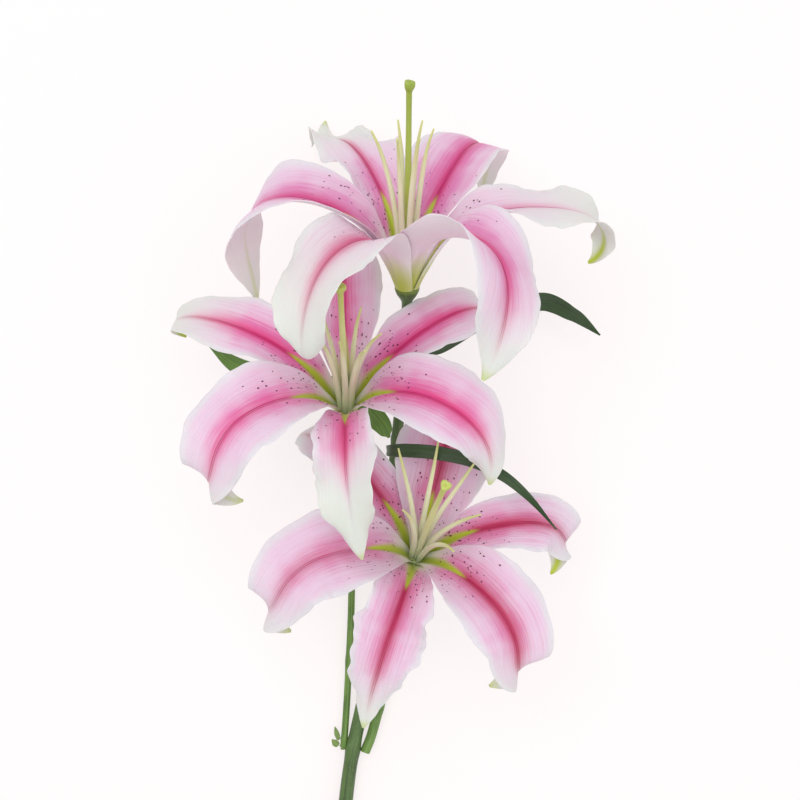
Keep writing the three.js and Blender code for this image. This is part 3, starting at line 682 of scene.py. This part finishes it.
def tepal_sheet(bloom, tepal, seed):
    """Middle surface of a tepal in its bloom's frame, half widths and thickness."""
    rows, columns = TEPAL_ROWS, TEPAL_COLUMNS
    inner = tepal.get("inner", False)
    s = np.linspace(0, 1, rows)
    t = np.linspace(-1, 1, columns)[None]
    start = math.radians(tepal["at"])

    def direction(at_s):
        """Tangent, upper face's normal and side vector at shares at_s."""
        pitch = np.radians(along(bloom["throat"] + tepal["bend"], at_s))
        heading = start + np.radians(along(tepal.get("swing", (0, 0)), at_s))
        out = np.stack([np.cos(heading), np.sin(heading), 0 * heading], -1)
        up = np.array([0, 0, 1.0])
        tangent = out * np.sin(pitch)[:, None] + up * np.cos(pitch)[:, None]
        normal = -out * np.cos(pitch)[:, None] + up * np.sin(pitch)[:, None]
        side = np.stack([-np.sin(heading), np.cos(heading), 0 * heading], -1)
        return tangent, normal, side

    step = tepal["length"] * bloom["size"] / (rows - 1)
    middle, _, _ = direction((s[:-1] + s[1:]) / 2)
    ring = INNER_RING if inner else OUTER_RING
    first = ring * np.array([math.cos(start), math.sin(start), 0])
    spine = first + np.concatenate([np.zeros((1, 3)), np.cumsum(middle * step, axis=0)])

    _, normal, side = direction(s)
    roll = np.radians(along(tepal.get("twist", (0, 0)), s))[:, None]
    across = side * np.cos(roll) + normal * np.sin(roll)
    lift = normal * np.cos(roll) - side * np.sin(roll)

    blade = tepal["width"] / 2 * bloom["size"] * along(INNER_OUTLINE if inner else OUTER_OUTLINE, s)
    half = np.minimum(blade, np.hypot(spine[:, 0], spine[:, 1]) * CLAW_SHARE * math.pi / 3)[:, None]
    cup = along(INNER_CUP if inner else OUTER_CUP, s)[:, None]
    cup = np.where(np.abs(cup) < 0.001, 0.001, cup)
    fold = along(FOLD, s)[:, None]
    height, count, phase = tepal.get("wave", WAVE)
    share = s[:, None]
    open_part = smooth(share, 0.22, 0.5) * smooth(1 - share, 0.0, 0.1)
    reach = height * np.clip((share - 0.25) / 0.25, 0, 1) * np.clip((1 - share) / 0.12, 0, 1)
    lag = np.where(t > 0, 1.3, 0)
    wave = reach * np.abs(t) ** 2.5 * np.sin(2 * math.pi * count * share + phase + lag)
    crimp = edge_unrest(t, share, count * 2.6, seed)
    frill = open_part * 0.22 * height * np.abs(t) ** 6 * crimp
    notch = edge_unrest(t, share, 5, seed + 7)
    half = half * (1 + tepal.get("notch", NOTCH) * open_part * notch * np.abs(t) ** 3)

    x = half * np.sin(cup * t) / cup
    groove_width = 1.5 - 0.7 * share
    groove = -0.75 * np.exp(-((half * t / groove_width) ** 2))
    groove = groove * smooth(share, 0.0, 0.1) * smooth(1 - share, 0.03, 0.35)
    ridge = 0.25 * np.exp(-(((np.abs(half * t) - 2.6) / 1.3) ** 2))
    ridge = ridge * smooth(share, 0.05, 0.2) * smooth(1 - share, 0.1, 0.5)
    buckle = open_part * 0.35 * (1 - np.abs(t)) * wander(share + 0.15 * t, 4, seed + 3) * np.abs(t)
    rise = (
        half * (1 - np.cos(cup * t)) / cup
        + fold * (np.hypot(half * t, 2) - 2)
        + wave + frill + groove + ridge + buckle
    )
    sheet = spine[:, None] + across[:, None] * x[..., None] + lift[:, None] * rise[..., None]
    thickness = TEPAL_THICKNESS * (0.95 - 0.25 * share) * (1 - 0.6 * np.abs(t) ** 3)
    return sheet, half, thickness


def paint_tepal(tepal, half, length, seed):
    """Function that gives the paint attributes at s, t and face of a tepal."""
    inner = tepal.get("inner", False)
    rows = half.shape[0]
    widths = half[:, TEPAL_COLUMNS // 2]

    def paint(s, t, face):
        a = np.abs(t)
        width = np.interp(s, np.linspace(0, 1, rows), widths)
        upper = (face + 1) / 2
        full = 0.3 * (1 - smooth(s, 0.2, 0.5))
        margin = 1 - smooth(a - full, 0.68, 1.02)
        tip = 1 - smooth(s, 0.72, 0.97)
        unrest = 1 + 0.12 * wander(s, 5, seed + 11)
        body = along(tepal.get("blush", BLUSH), s) * (0.35 + 0.65 * tip) * unrest
        blush = body * (0.6 * margin + 0.4 * (1 - smooth(a - full, 0.1, 0.62)))
        # Where the throat's pale colour lies; it also carries painted light into the funnel.
        throat = 1 - smooth(s, 0.07, 0.22)
        band = along(tepal.get("band", BAND), s)
        core = 0.5 * np.exp(-((a / band) ** 2)) + 0.5 * np.exp(-((a / band / 0.5) ** 2))
        stripe = along(tepal.get("stripe", STRIPE), s) * core * smooth(s, 0.2, 0.34)
        veil = along(tepal.get("veil", VEIL), s) * (1 - 0.75 * core * (1 - smooth(s, 0.6, 0.95)))
        furrow_width = 0.5 + 14 * np.clip(0.36 - s, 0, 0.17)
        furrow = smooth(0.36 - s, 0.0, 0.06) * np.exp(-((a * width / furrow_width) ** 4))
        under_blush = 0.45 * along(tepal.get("blush", BLUSH), s)
        under_blush = under_blush * (1 - smooth(a, 0.2, 1.0)) * (1 - 0.6 * smooth(s, 0.5, 1))
        keel_reach = smooth(s, 0.6, 0.95) * (0.4 if inner else 1.0)
        keel_reach = keel_reach + 0.95 * (1 - smooth(s, 0.02, 0.28))
        keel_width = (1.3 if inner else 2.2) + 8 * (1 - smooth(s, 0.02, 0.24))
        keel = np.exp(-((a * width / keel_width) ** 2)) * keel_reach
        tip_green = smooth(s, 0.95, 1.0) * 0.6
        green = upper * np.maximum(furrow, tip_green)
        green = green + (1 - upper) * np.maximum(keel, tip_green)
        return {
            "paint": np.stack([
                np.clip(upper * blush + (1 - upper) * under_blush, 0, 1),
                np.clip(upper * stripe, 0, 1),
                np.clip(veil, 0, 1),
            ], -1),
            "throat": throat * (0.85 * upper + 0.6 * (1 - upper)),
            "marks": np.stack([np.clip(green, 0, 1), 0 * s, upper], -1),
            "grain": np.stack([t * width, s * length, 0 * s + seed * 7.3], -1),
        }

    return paint


def papillae(sheet, lift, thickness, seed):
    """Small raised spots on the lower half of the upper face, one dome each."""
    rng = np.random.default_rng(seed + 300)
    rows, columns = sheet.shape[:2]
    rings, sides = 3, 10
    angle = np.linspace(0, 2 * math.pi, sides, endpoint=False)
    ahead = unit(np.gradient(sheet, axis=0))
    points, faces = [], []
    for _ in range(SPOTS_PER_TEPAL):
        s = 0.16 + 0.36 * rng.beta(1.5, 2.4)
        t = rng.choice((-1, 1)) * rng.uniform(0.14, 0.86)
        i, j = int(s * (rows - 1)), int((t + 1) / 2 * (columns - 1))
        along_way, up = ahead[i, j], lift[i, j]
        sideways = np.cross(up, along_way)
        size = rng.uniform(*SPOT_RADII)
        centre = sheet[i, j] + up * (thickness[i, j] / 2 - 0.03)
        start = len(points)
        for ring in range(rings):
            tilt = ring / rings * math.pi / 2
            flat, rise = math.cos(tilt) * size, math.sin(tilt) * size * 0.55
            for q in angle:
                forward = along_way * flat * 1.5 * math.cos(q)
                points.append(centre + forward + sideways * flat * math.sin(q) + up * rise)
        points.append(centre + up * size * 0.55)
        top = len(points) - 1
        points.append(centre - up * size * 0.2)
        for ring in range(rings - 1):
            for q in range(sides):
                a, b = start + ring * sides + q, start + ring * sides + (q + 1) % sides
                faces.append([a, b, b + sides, a + sides][::-1])
        last = start + (rings - 1) * sides
        for q in range(sides):
            faces.append([last + q, last + (q + 1) % sides, top][::-1])
            faces.append([start + (q + 1) % sides, start + q, top + 1][::-1])
    count = len(points)
    values = {
        "paint": np.zeros((count, 3)),
        "marks": np.tile([0.0, 1.0, 1.0], (count, 1)),
        "grain": np.zeros((count, 3)),
        "throat": np.zeros(count),
    }
    return np.array(points), faces, values


# ---- stems --------------------------------------------------------------------------
def behind(bloom, distance):
    """Point on a bloom's axis, a distance behind its base."""
    return np.array(bloom["base"], float) - bloom_axes(bloom)[2] * distance


def route_to_bloom(points, bloom):
    """Route that arrives at a bloom straight along its axis, just short of it."""
    seat = GAP + TEPAL_THICKNESS / 4
    ends = [behind(bloom, d) for d in (*bloom["approach"], seat)]
    return np.array([*points, *ends], float)


def stations(route, count, start_radius, end_radius):
    """Centre points and radii of a stalk that swells into its receptacle."""
    centres = along(route, np.linspace(0, 1, count))
    steps = np.linalg.norm(np.diff(centres, axis=0), axis=1)
    left = np.concatenate([np.cumsum(steps[::-1])[::-1], [0]])
    plain = start_radius + (end_radius - start_radius) * (1 - left / left[0])
    swell = smooth(1 - left / FLARE_LENGTH, 0, 0.9)
    return centres, plain + (RECEPTACLE_RADIUS - plain) * swell


def beside(centres, radii, share, side, clearance):
    """Point beside a stalk: side in degrees round it, 90 is on top."""
    i = int(math.floor(share * (len(centres) - 1) + 0.5))
    ahead = unit(centres[i + 1] - centres[i])
    right = unit(np.cross([0, 0, -1.0], ahead))
    up = np.cross(right, ahead)
    turn = math.radians(side)
    out = right * math.cos(turn) + up * math.sin(turn)
    return centres[i] + out * (radii[i] + GAP + clearance)


cut = np.array(MAIN_ROUTE[0], float) + np.array(CUT_DIRECTION) * CUT_LENGTH
cut[2] = STEM_RADIUS
main_route = route_to_bloom([cut, *MAIN_ROUTE], BLOOMS["top"])
main_stations = stations(main_route, STEM_STEPS + 1, STEM_RADIUS, STEM_TOP_RADIUS)


def side_route(side, route, bloom, radius):
    """Route of a side stalk, from the main stem's fork to its bloom."""
    start = beside(*main_stations, FORK_SHARE, side, radius)
    return route_to_bloom([start, *route], bloom)


middle_route = side_route(MIDDLE_STALK_SIDE, MIDDLE_ROUTE, BLOOMS["middle"], MIDDLE_STALK_RADIUS)
lower_route = side_route(LOWER_STALK_SIDE, LOWER_ROUTE, BLOOMS["lower"], LOWER_STALK_RADIUS)
middle_stations = stations(middle_route, STALK_STEPS + 1, MIDDLE_STALK_RADIUS, MIDDLE_STALK_RADIUS)


def pistil_line(s):
    """Centre line of a pistil in its bloom's frame, at shares s."""
    return np.stack([0 * s, PISTIL_BOW * np.sin(math.pi * s), GAP + PISTIL_LENGTH * s], -1)


def packed_offset():
    """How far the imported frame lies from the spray's, from the top pistil's box."""
    steps, sides = 15, 8  # as the CAD pistil has them
    profile = (0.9, 1, 1, 0.9, 0.74, 0.66, 0.64, 0.64, 0.64, 0.65, 0.66, 0.68, 0.7, 0.82, 1.4)
    s = np.linspace(0, 1, steps)
    local = pistil_line(s)
    first, last = local[1:2] - local[:1], local[-1:] - local[-2:-1]
    ahead = unit(np.concatenate([first, local[2:] - local[:-2], last]))
    angle = np.linspace(0, 2 * math.pi, sides, endpoint=False)[None, :, None]
    right = np.array([1.0, 0, 0])
    up = np.cross(ahead, right)[:, None]
    radii = OVARY_RADIUS * along(profile, s)[:, None, None]
    points = local[:, None] + radii * (np.cos(angle) * right + np.sin(angle) * up)
    points = points.reshape(-1, 3) @ bloom_axes(BLOOMS["top"]) + np.array(BLOOMS["top"]["base"])
    low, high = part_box("top_pistil")
    packed = (np.array(low) + np.array(high)) / 2 / MM
    return packed - (points.min(0) + points.max(0)) / 2


OFFSET = packed_offset()

TEPAL_SKINS = {
    "top": tepal_material("tepal_lilac", PINK, ROSE),
    "middle": tepal_material("tepal_pink", srgb(222, 128, 182), srgb(212, 36, 118)),
    "lower": tepal_material("tepal_warm", srgb(220, 140, 184), srgb(184, 34, 84)),
}
FILAMENT_SKIN = thread_material(
    "filament", srgb(232, 236, 212), srgb(228, 232, 196), srgb(204, 208, 136), 0.65, 0.45
)
STYLE_SKIN = thread_material(
    "style", srgb(216, 224, 166), srgb(176, 194, 92), srgb(150, 170, 66), 0.5, 0.35
)
PALE_STYLE_SKIN = thread_material(
    "pale_style", srgb(232, 236, 206), srgb(216, 222, 156), srgb(186, 198, 98), 0.6, 0.35
)
MAIN_SKIN = green_material("main_stem", srgb(46, 70, 34), srgb(92, 122, 62), PALE_CUT, 0.45)
STALK_SKIN = green_material("side_stalk", srgb(66, 98, 36), srgb(122, 158, 74), PALE_CUT, 0.45)
LEAF_SKIN = leaf_material("leaf", srgb(8, 24, 10), srgb(54, 84, 40), srgb(14, 34, 14))
YOUNG_LEAF_SKIN = leaf_material("young_leaf", srgb(14, 44, 26), srgb(112, 152, 58), srgb(52, 96, 26))
SCALE_SKIN = leaf_material("scale", srgb(70, 100, 44), srgb(130, 156, 84), srgb(70, 100, 44))

# Radii from base to tip, as shares of the ovary's radius and of the filament's.
PISTIL_PROFILE = (
    0.95, 1.05, 1.05, 0.95, 0.86, 0.84, 0.84, 0.83, 0.8, 0.76, 0.72, 0.69, 0.68, 0.7, 0.76,
)
STIGMA_SWELL = 0.5
FILAMENT_PROFILE = (2.2, 2.35, 2.3, 2.1, 1.9, 1.5, 0.7)
FILAMENT_HOOK = 1.6  # reach of the bend in the last fifth


def flattened(share, turn):
    """Section of a filament: a little flat at its base and round at its tip."""
    return 1 + 0.12 * np.cos(2 * turn) * (1 - share)


def lobed(share, turn):
    """Section of a pistil: a ribbed ovary below, and a stigma of three lobes on top."""
    ribs = 0.07 * np.cos(6 * turn) * smooth(0.22 - share, 0, 0.1)
    knob = 0.14 * np.cos(3 * turn) * smooth(share, 0.95, 0.99)
    return 1 + ribs + knob


def build_tepal(name, bloom, tepal, seed, material):
    sheet, half, thickness = tepal_sheet(bloom, tepal, seed)
    sheet = np.array(bloom["base"], float) + sheet @ bloom_axes(bloom)
    lift = lifts(sheet)
    paint = paint_tepal(tepal, half, tepal["length"] * bloom["size"], seed)
    blade = blade_part(sheet, lift, thickness, paint)
    dots = papillae(sheet, lift, thickness, seed)
    make_piece(name, [blade, dots], material)


def build_filament(name, bloom, at, lean, rng):
    """A filament that leans out by `lean` degrees, with a small hook at its tip."""
    s = np.linspace(0, 1, FILAMENT_ROWS)
    angle = math.radians(at)
    out = np.array([math.cos(angle), math.sin(angle), 0])
    sideways = np.array([-math.sin(angle), math.cos(angle), 0])
    length = FILAMENT_LENGTH * bloom["size"] * s
    tilt = np.radians(lean) * s
    hook = FILAMENT_HOOK * np.clip(s - 0.8, 0, 1) ** 2 * 25
    sway = rng.uniform(-1, 1) * 1.2 * np.sin(math.pi * s) + rng.uniform(-1, 1) * hook * 0.5
    local = (
        out * (FILAMENT_RING + length * np.sin(tilt) + hook * 0.9)[:, None]
        + np.array([0, 0, 1.0]) * (GAP + length * np.cos(tilt))[:, None]
        + sideways * sway[:, None]
    )
    line = np.array(bloom["base"], float) + local @ bloom_axes(bloom)
    part = tube_part(line, FILAMENT_RADIUS * along(FILAMENT_PROFILE, s), FILAMENT_SIDES, flattened)
    make_piece(name, [part], FILAMENT_SKIN)


def build_pistil(name, bloom, material):
    s = np.linspace(0, 1, PISTIL_ROWS)
    line = np.array(bloom["base"], float) + pistil_line(s) @ bloom_axes(bloom)
    radii = OVARY_RADIUS * (along(PISTIL_PROFILE, s) + STIGMA_SWELL * smooth(s, 0.955, 0.985))
    part = tube_part(line, radii, PISTIL_SIDES, lobed, end_cap=3)
    make_piece(name, [part], material)


def build_bloom(name, bloom, first_seed):
    """The tepals, filaments and pistil of one bloom."""
    for seed, (place, tepal) in enumerate(bloom["tepals"].items(), first_seed):
        build_tepal(f"{name}_tepal_{place}", bloom, tepal, seed, TEPAL_SKINS[name])
    rng = np.random.default_rng(first_seed + 40)
    for number, (at, lean) in enumerate(FILAMENTS[name], 1):
        build_filament(f"{name}_filament_{number}", bloom, at, lean, rng)
    build_pistil(f"{name}_pistil", bloom, STYLE_SKIN if name == "top" else PALE_STYLE_SKIN)


def build_stalk(name, route, rows, radii, nodes, material, tinted):
    """A stalk with shallow ridges, and a slight swelling (share, height, width) at each node."""
    centres, radius = stations(route, rows, *radii)
    s = np.linspace(0, 1, rows)
    for share, height, width in nodes:
        radius = radius + height * np.exp(-(((s - share) / width) ** 2))

    def ridges(share, turn):
        drift = 6 * share
        return 1 + 0.022 * np.sin(5 * turn + drift) + 0.014 * np.sin(9 * turn - drift)

    def tint(way, sides):
        return {"tint": np.repeat((tinted * smooth(way, 0.975, 1.0))[:, None], sides, 1).ravel()}

    part = tube_part(centres, radius, STEM_SIDES, ridges, tint, start_cap=-0.6)
    make_piece(name, [part], material)


def leaf_part(route, face, width, outline, rows, columns, thickness, seed):
    """A leaf that follows a route, folded along its midrib, with raised veins."""
    s = np.linspace(0, 1, rows)
    centres = along(route, s)
    tangents = unit(along(route, np.minimum(s + 0.01, 1)) - along(route, np.maximum(s - 0.01, 0)))
    up = np.array(face, float)
    ups = np.zeros_like(centres)
    for i in range(rows):
        up = unit(up - up.dot(tangents[i]) * tangents[i])
        ups[i] = up
    sides = np.cross(ups, tangents)
    t = np.linspace(-1, 1, columns)[None]
    half = (width / 2 * along(outline, s) * (0.3 + 0.7 * smooth(s, 0, 0.07)))[:, None]
    x = half * t
    veins = 0.05 * np.cos(2 * math.pi * 4.5 * t) * smooth(s[:, None], 0.02, 0.1)
    edge = 0.35 * np.abs(t) ** 3 * wander(s, 3, seed)[:, None]
    rise = LEAF_FOLD * (np.hypot(x, 1) - 1) + veins + edge * smooth(half, 1, 4)
    sheet = centres[:, None] + sides[:, None] * x[..., None] + ups[:, None] * rise[..., None]
    lift = -lifts(sheet)
    length = np.linalg.norm(np.diff(centres, axis=0), axis=1).sum()

    def values(at_s, at_t, face_side):
        wide = np.interp(at_s, s, half[:, 0])
        return {
            "grain": np.stack([at_t * wide, at_s * length, 0 * at_s + seed], -1),
            "under": (1 - face_side) / 2,
        }

    body = np.full(sheet.shape[:2], thickness) * (1 - 0.55 * np.abs(t) ** 3)
    # Handed over from right to left, so that the faces point out.
    return blade_part(sheet[:, ::-1], lift[:, ::-1], body, values)


for first_seed, (name, bloom) in zip((100, 200, 300), BLOOMS.items()):
    build_bloom(name, bloom, first_seed)

build_stalk(
    "main_stem", main_route, STEM_ROWS, (STEM_RADIUS, STEM_TOP_RADIUS),
    ((0.14, 0.5, 0.012), (0.37, 0.25, 0.006), (0.58, 0.35, 0.008), (0.81, 0.35, 0.008)),
    MAIN_SKIN, 0.3,
)
build_stalk(
    "middle_flower_stalk", middle_route, STALK_ROWS, (MIDDLE_STALK_RADIUS, MIDDLE_STALK_RADIUS),
    ((0.04, 0.3, 0.012), (0.13, 0.25, 0.01), (0.29, 0.25, 0.01), (0.47, 0.45, 0.006)),
    STALK_SKIN, 0.4,
)
build_stalk(
    "lower_flower_stalk", lower_route, STALK_ROWS, (LOWER_STALK_RADIUS, LOWER_STALK_RADIUS),
    ((0.2, 0.3, 0.015),), STALK_SKIN, 0.4,
)

for seed, (name, leaf) in enumerate(LEAVES.items(), 500):
    room = LEAF_THICKNESS + LEAF_SET_OFF * leaf["width"]
    start = beside(*main_stations, leaf["share"], leaf["side"], room)
    part = leaf_part(
        np.array([start, *leaf["route"]]), leaf["face"], leaf["width"], LEAF_OUTLINE,
        LEAF_ROWS, LEAF_COLUMNS, LEAF_THICKNESS, seed,
    )
    make_piece(name, [part], YOUNG_LEAF_SKIN if name == "leaf_left" else LEAF_SKIN)

for seed, (name, scale) in enumerate(SCALES.items(), 600):
    room = SCALE_THICKNESS + LEAF_SET_OFF * scale["width"]
    start = beside(*middle_stations, scale["share"], scale["side"], room)
    end = start + np.array(scale["reach"])
    part = leaf_part(
        np.array([start, (start + end) / 2, end]), (0, 0, 1), scale["width"], SCALE_OUTLINE,
        SCALE_ROWS, SCALE_COLUMNS, SCALE_THICKNESS, seed,
    )
    make_piece(name, [part], SCALE_SKIN)


# ---- floor, light and camera ----------------------------------------------------------
FLOOR_REACH = 15
FLOOR_GLOW = 0.73
CAMERA_HEIGHT = 700  # above the spray's own zero height


def build_floor():
    """A square of pale paper, with a little glow of its own so that shadows stay faint."""
    mesh = bpy.data.meshes.new("floor")
    corners = [(x * FLOOR_REACH, y * FLOOR_REACH, 0) for x, y in ((-1, -1), (1, -1), (1, 1), (-1, 1))]
    mesh.from_pydata(corners, [], [(0, 1, 2, 3)])
    floor = bpy.data.objects.new("floor", mesh)
    bpy.context.scene.collection.objects.link(floor)
    m = Shader("floor_paper")
    m.surface.inputs["Base Color"].default_value = srgb(140, 136, 136)
    m.surface.inputs["Emission Color"].default_value = srgb(255, 249, 249)
    m.surface.inputs["Emission Strength"].default_value = FLOOR_GLOW
    m.surface.inputs["Roughness"].default_value = 0.9
    mesh.materials.append(m.material)


def build_light(name, place, size, power, aim):
    """A soft square lamp at `place` that faces `aim`."""
    data = bpy.data.lights.new(name, "AREA")
    data.size = size
    data.energy = power
    lamp = bpy.data.objects.new(name, data)
    lamp.location = place
    lamp.rotation_euler = (Vector(aim) - Vector(place)).to_track_quat("-Z", "Y").to_euler()
    bpy.context.scene.collection.objects.link(lamp)


def build_world():
    world = bpy.data.worlds.new("studio")
    world.use_nodes = True
    background = world.node_tree.nodes["Background"]
    background.inputs["Color"].default_value = (1, 0.99, 0.99, 1)
    background.inputs["Strength"].default_value = 0.7
    bpy.context.scene.world = world
    bpy.context.scene.view_settings.view_transform = "Standard"


def build_camera():
    """A camera straight above the lily, as the photo is seen, with the bloom tops up."""
    data = bpy.data.cameras.new("camera")
    data.lens = 60
    data.sensor_width = 36
    data.clip_start, data.clip_end = 0.01, 20
    camera = bpy.data.objects.new("camera", data)
    camera.location = (OFFSET + np.array([0, 0, CAMERA_HEIGHT])) * MM
    bpy.context.scene.collection.objects.link(camera)
    bpy.context.scene.camera = camera


build_floor()
build_light("key", (-0.35, 0.5, 1.5), 1.2, 11, (0, 0.05, 0))
build_light("fill", (0.7, -0.4, 1.3), 1.4, 4.5, (0, 0, 0))
build_world()
build_camera()
